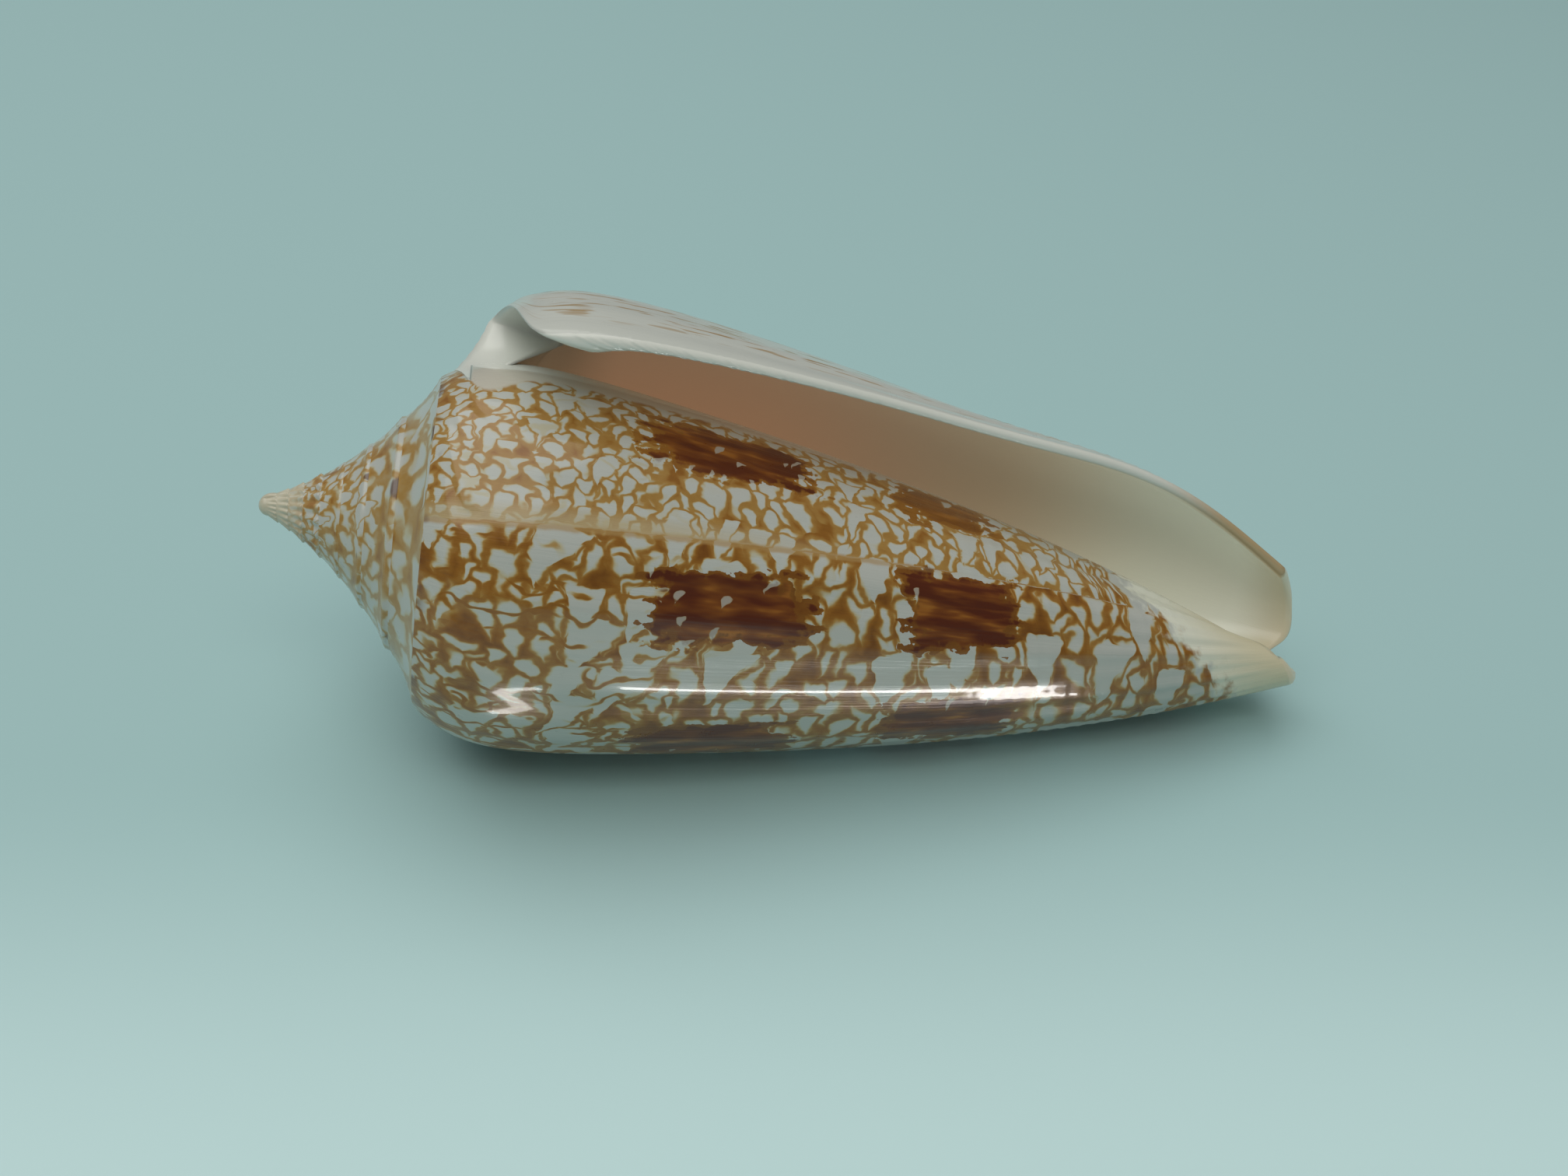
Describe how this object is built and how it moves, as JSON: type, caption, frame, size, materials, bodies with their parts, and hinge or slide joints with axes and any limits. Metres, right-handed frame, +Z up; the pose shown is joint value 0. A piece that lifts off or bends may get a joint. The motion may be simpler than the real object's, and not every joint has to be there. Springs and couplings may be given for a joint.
{
  "type": "cone shell",
  "caption": "Glossy cone-shaped sea snail shell with a low pointed spire and a long narrow opening, lying on its side.",
  "frame": {"origin": "centre of the bounding box in X and Y, at the level the shell rests on", "axes": "+X from the pointed spire towards the siphonal end, +Z up, with the shell lying on its body whorl and its opening up and towards -Y"},
  "size_m": [0.048, 0.0192, 0.0211],
  "materials": {
    "shell": "glossy natural shell, white with brown net-like tents and two bands of dark brown blotches; cream siphonal end, pinkish brown inside"
  },
  "bodies": {
    "root": {"shell": "shell"}
  },
  "joints": []
}
